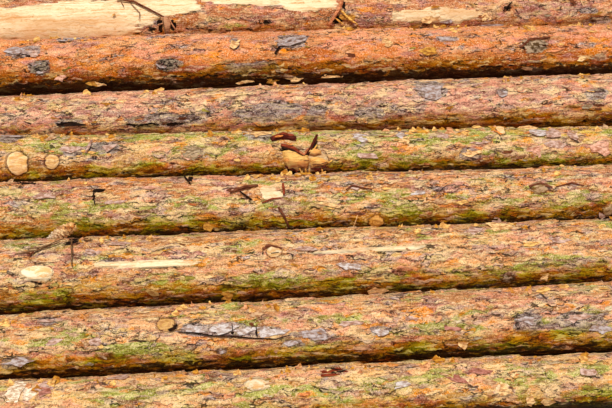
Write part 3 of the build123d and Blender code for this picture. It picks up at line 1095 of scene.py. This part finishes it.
# Twigs and rolled strips of bark, by tier: line of pixels, half width and lift
# in mm, tone
strands = {
    8: [([(117, 0), (134, 2), (150, 10), (164, 17)], 2.8, 2, "brown"),
        ([(121, 2), (124, 7)], 1.2, 2, "brown"), ([(130, 3), (140, 13), (139, 20)], 1.1, 2, "brown"),
        ([(158, 31), (158, 25), (164, 23)], 2.2, 3, "twig_wood"),
        ([(169, 19), (174, 27), (178, 33)], 1.8, 3, "twig_wood"),
        ([(163, 18), (164, 26), (166, 35)], 1.4, 7, "twig"),
        ([(342, 0), (340, 8), (329, 24)], 4.8, 6, "salmon"),
        ([(340, 10), (348, 18), (357, 24)], 2.8, 6, "stub"), ([(335, 18), (343, 24)], 2.2, 4, "stub"),
        ([(503, 11), (512, 2)], 2, 2, "black")],
    7: [([(278, 46), (288, 41), (306, 38)], 6, 3, "grey"), ([(275, 54), (280, 46)], 3, 2, "black"),
        ([(520, 48), (530, 40), (550, 38)], 3.5, 3, "brown")],
    # On the broken stub, the black strands are painted shadow under the bark strips, the maroon strands
    # round the top red strip and at the foot of the blocks are painted shade, and the orange and salmon
    # strands are painted highlights on the red strips
    5: [([(271, 140), (281, 137), (296, 139)], 8, 2, "maroon"),
        ([(273, 139), (283, 136), (294, 138)], 5, 6, "red"),
        ([(275, 140), (283, 139)], 2.2, 11.5, "orange"),
        ([(281, 146), (292, 149), (303, 155)], 5.6, 7, "red"),
        ([(284, 145), (292, 147)], 1.8, 13.5, "orange"),
        ([(299, 153), (304, 155), (308, 150)], 2.6, 13, "salmon"),
        ([(304, 156), (311, 149), (317, 137)], 4.2, 7, "maroon"), ([(92, 141), (86, 153)], 3.5, 3, "mauve"),
        ([(282, 149), (293, 152), (304, 158)], 3.6, 10, "black"),
        ([(304, 158), (311, 152), (317, 143)], 2.6, 9, "black"), ([(312, 152), (317, 146)], 2, 8, "stub"),
        ([(295, 166), (298, 173)], 2.2, 13, "red"), ([(299, 166), (304, 175)], 1.6, 15, "stub"),
        ([(305, 165), (306, 174)], 2.2, 14, "stub"), ([(309, 167), (309, 175)], 2, 14, "stub"),
        ([(314, 168), (320, 170)], 2.6, 8, "red"), ([(321, 166), (323, 173)], 1.8, 10, "stub"),
        ([(326, 163), (332, 160)], 1.8, 8, "stub"), ([(286, 167), (288, 172)], 1.6, 10, "cream"),
        ([(296, 159), (303, 160), (309, 160)], 1.2, 17.5, "brown"),
        ([(312, 163), (320, 163), (327, 161)], 1, 13.2, "brown"),
        ([(285, 165), (293, 168), (301, 167)], 3, 12, "maroon"),
        ([(311, 167), (318, 168), (326, 165)], 3, 9, "maroon"), ([(290, 155), (298, 157)], 1, 17.5, "red")],
    4: [([(184, 177), (190, 184)], 2.4, 3, "black"), ([(230, 193), (243, 188), (258, 186)], 3, 3, "brown"),
        ([(240, 192), (252, 200)], 2.2, 2, "black"), ([(20, 183), (36, 184)], 1.8, 1, "black"),
        ([(93, 191), (95, 205)], 1.4, 1, "black"), ([(93, 191), (105, 190)], 1.4, 1, "black"),
        ([(278, 207), (283, 214), (289, 226)], 2.8, 3, "brown"),
        ([(349, 232), (354, 222), (357, 214)], 1.4, 12, "cream"),
        ([(529, 187), (540, 184), (552, 188)], 3.4, 2, "brown"),
        ([(346, 190), (352, 186), (372, 190)], 2, 2, "brown"),
        ([(556, 187), (572, 183), (584, 186)], 2, 1, "brown"), ([(283, 184), (284, 195)], 3.2, 2, "red"),
        ([(262, 203), (272, 199), (281, 198)], 2, 2, "red")],
    3: [([(271, 254), (279, 253)], 1.2, 4, "black"), ([(60, 243), (38, 251), (15, 255)], 1.6, 3, "twig"),
        ([(66, 240), (44, 249), (24, 251)], 1.2, 6, "twig"), ([(72, 240), (72, 266)], 1.8, 5, "twig"),
        ([(28, 257), (34, 252)], 2, 2, "brown"), ([(263, 250), (268, 246), (282, 249)], 3.5, 2, "brown")],
    2: [([(169, 331), (174, 329), (177, 325)], 3.4, 3, "black"),
        ([(159, 320), (162, 316)], 1.6, 2, "brown"), ([(324, 340), (334, 334)], 1.2, 2, "grey"),
        ([(178, 332), (196, 333), (214, 336), (232, 336), (250, 338), (276, 339), (290, 335)],
         1.5, 2, "black"),
        ([(232, 324), (233, 335)], 0.9, 5, "black"), ([(256, 326), (257, 337)], 0.8, 5, "black")],
    1: [([(325, 368), (345, 371)], 1.2, 1, "black")],
}
strand_steps = 5

flakes_per_metre = 44
gap_flakes_per_metre = 60

# The pine cone caught in the gap above tier 3
cone_tier = 3
cone_px, cone_py = 62, 235
cone_length = 0.066
cone_width = 0.028
cone_lean = radians(26)
cone_rows = 9
cone_scales_around = 7
cone_clearance = 0.045
cone_x = place_on_log(cone_tier, cone_px, cone_py)[0]


def add_single_flake(pieces, tier, px, py, width, height, lift, tone, up=0):
    """One scale of the table above."""
    log = logs[tier, 1]
    x, angle, half_length, half_arc = spot_on_log(tier, px, py, width, height)
    length, across = half_length * 2.2, half_arc * 2.2
    add_flake(pieces, log, x, angle, relief_at(log, x, angle), length, across, draw.normal(0, 0.1), up,
              lift / 1000, tones[tone], 0.2 * up)


def add_strand(pieces, tier, pixels, width, lift, tone):
    """A twig or strip along a line of pixels, laid on a front log and thinner at its ends."""
    spots = []
    for (x0, y0), (x1, y1) in zip(pixels, pixels[1:]):
        for share in [step / strand_steps for step in range(strand_steps)]:
            spots.append((x0 + (x1 - x0) * share, y0 + (y1 - y0) * share))
    spots.append(pixels[-1])
    points = [logs[tier, 1].point(*place_on_log(tier, px, py), lift / 1000) for px, py in spots]
    last = len(points) - 1
    widths = [width / 1000 * (0.55 + 0.45 * sin(pi * (0.15 + 0.75 * i / last))) for i in range(len(points))]
    add_tube(pieces, points, widths, tones[tone])


def shaded_at_angle(tone, angle):
    """A tone darkened by painted shade, as the bark is at that angle."""
    share = 1 - 0.3 * float(smooth_step(0.2, -0.5, sin(angle)))
    return tuple(c * s for c, s in zip(tone, (share, share * 0.96, share * 0.80)))


def scatter_flakes(pieces, log):
    """Small scales all over the side of a front log, and more where they catch between logs."""
    length = log.right - log.left
    for per_metre, gap in ((flakes_per_metre, 0), (gap_flakes_per_metre, 1)):
        count = int(per_metre * length)
        x = draw.uniform(log.left + 0.03, log.right - 0.03, count)
        angle = draw.uniform(radians(50 if gap else -30), radians(82 if gap else 80), count)
        crowd = layered_noise(x / 0.09, angle * 0 + gap * 9, angle * 0 + log.tier, 500, 2)
        clear = (abs(x - cone_x) > cone_clearance) | (log.tier != cone_tier)
        kept = (crowd > (0.50 if gap else 0.40)) & clear
        x, angle = x[kept], angle[kept]
        radius = log.at(x)[2]
        base = bark_relief(log, x, angle, radius, x * 0)
        names = gap_tones if gap else common_tones
        for i in range(len(x)):
            size = 0.008 + 0.024 * draw.random() ** 2
            tone = shaded_at_angle(tones[names[draw.integers(len(names))]], angle[i])
            if gap:
                add_flake(pieces, log, x[i], angle[i], base[i], size * 1.1, size * draw.uniform(0.4, 0.9),
                          draw.normal(0, 0.5), 1, draw.uniform(0.002, 0.011), tone, draw.uniform(0, 0.7))
            else:
                add_flake(pieces, log, x[i], angle[i], base[i], size * 1.3, size * draw.uniform(0.3, 0.6),
                          draw.normal(0, 0.22), 0, draw.uniform(0.0008, 0.004), tone)


def add_cone(pieces):
    """The pine cone lying on its log: scales in spirals round a spindle."""
    length, width = cone_length, cone_width
    x, angle = place_on_log(cone_tier, cone_px, cone_py)
    middle = logs[cone_tier, 1].point(x, angle, width * 0.4)
    axis = Vector((cos(cone_lean), -0.25, sin(cone_lean))).normalized()
    side = axis.cross(Vector((0, 1, 0))).normalized()
    front = side.cross(axis).normalized()
    for row in range(cone_rows):
        share = row / (cone_rows - 1)
        body = width / 2 * (0.28 + 0.72 * sin(pi * (0.04 + 0.76 * share)) ** 0.9)
        for k in range(cone_scales_around):
            a = (k + row * 0.5) / cone_scales_around * tau
            outward = side * cos(a) + front * sin(a)
            across = axis.cross(outward)
            root = middle + axis * (share - 0.5) * length + outward * body * 0.45
            tip = root + outward * body * 0.55 - axis * length * 0.07
            half = body * 0.46 + 0.001
            ridge = tip + outward * 0.0018 + axis * length * 0.02
            verts = [
                root - across * half * 0.5, root + across * half * 0.5, tip + across * half,
                tip - across * half, ridge, root + axis * length * 0.06,
            ]
            faces = [[3, 2, 1, 0], [5, 4, 3, 0], [2, 4, 5, 1], [4, 2, 3], [1, 5, 0]]
            tan = (0.96, 0.76, 0.48) if (row + k) % 3 else (0.84, 0.56, 0.28)
            tone = tuple(t + (g - t) * (1 - share) * 0.9 for t, g in zip(tan, (0.86, 0.82, 0.74)))
            pieces.add(verts, faces, [0] * len(faces), tone)
    spindle = [middle + axis * (share - 0.5) * length for share in (0, 0.25, 0.5, 0.75, 1)]
    add_tube(pieces, spindle, [width * s for s in (0.10, 0.26, 0.36, 0.36, 0.22)], (0.62, 0.44, 0.26))


def bark_slot(log):
    """Which of the record's finishes a log has."""
    if log.place == 1 and log.tier == tier_count:
        return "peeled_wood"
    return "green_bark" if log.place == 1 and log.tier < 6 else "bark"


draw = np.random.default_rng(11)
bark = bark_material()
sawn = sawn_material()
for log in logs.values():
    piece = add_object(log.name + "_bark", log_mesh(log))
    piece.data.materials.append(bark)
    piece.data.materials.append(sawn)
    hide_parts(log.name)
    bark_slot(log)
    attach(piece, "root")

loose_materials = [
    flake_material("scale_outside", True), flake_material("scale_inside", False), split_wood_material(),
]
for tier in range(1, tier_count + 1):
    scales = Pieces(f"loose_scales_{tier}")
    scatter_flakes(scales, logs[tier, 1])
    for flake in single_flakes.get(tier, []):
        add_single_flake(scales, tier, *flake)
    for strand in strands.get(tier, []):
        add_strand(scales, tier, *strand)
    for outline, reach, tone in broken_wood.get(tier, []):
        add_block(scales, tier, outline, reach, tones[tone])
    if tier == cone_tier:
        add_cone(scales)
    scales.finish(loose_materials)


def add_floor():
    """A plain pale floor, wide enough for every view."""
    mesh = bpy.data.meshes.new("floor")
    reach = 30
    corners = [(-reach, -reach, 0), (reach, -reach, 0), (reach, reach, 0), (-reach, reach, 0)]
    mesh.from_pydata(corners, [], [(0, 1, 2, 3)])
    floor = add_object("floor", mesh)
    n = Nodes(bpy.data.materials.new("pale_floor"))
    shader = n.tree.nodes["Principled BSDF"].inputs
    n.put(shader["Base Color"], n.mix(n.noise(n.place(), 3), (0.86, 0.86, 0.85), (0.90, 0.90, 0.89)))
    shader["Roughness"].default_value = 0.8
    mesh.materials.append(n.owner)


def add_light():
    """High light from the front, a weaker one from the side, and a pale surround."""
    lamps = [("key", (-0.8, -4.2, 4.1), 3.1, 4), ("side", (3.5, -3.0, 2.0), 0.3, 30)]
    for name, place, strength, width in lamps:
        lamp = bpy.data.lights.new(name, "SUN")
        lamp.energy = strength
        lamp.angle = radians(width)
        holder = add_object(name, lamp)
        holder.location = place
        holder.rotation_euler = (Vector((0, 0, 0.4)) - Vector(place)).to_track_quat("-Z", "Y").to_euler()
    world = bpy.data.worlds.new("surround")
    bpy.context.scene.world = world
    n = Nodes(world)
    n.tree.nodes.clear()
    path = n.node("LightPath", {}).outputs
    seen = n.math("MAXIMUM", path["Is Camera Ray"], path["Is Transmission Ray"])
    seen = n.math("MAXIMUM", seen, path["Is Glossy Ray"])
    soft = n.value("Background", {"Color": (1, 1, 1), "Strength": 0.2})
    white = n.value("Background", {"Color": (1, 1, 1), "Strength": 1})
    n.node("OutputWorld", {0: n.value("MixShader", {0: seen, 1: soft, 2: white})})


def add_camera():
    """Camera square on to the front slope, as the photograph was taken."""
    data = bpy.data.cameras.new("camera")
    data.sensor_width = sensor_width
    data.lens = focal_px / image_width * sensor_width
    camera = add_object("camera", data)
    turn = Matrix((image_right, image_up, -forward)).transposed()
    camera.matrix_world = Matrix.Translation(camera_place) @ turn.to_4x4()
    bpy.context.scene.camera = camera


add_floor()
add_light()
add_camera()
bpy.context.scene.view_settings.view_transform = "Standard"
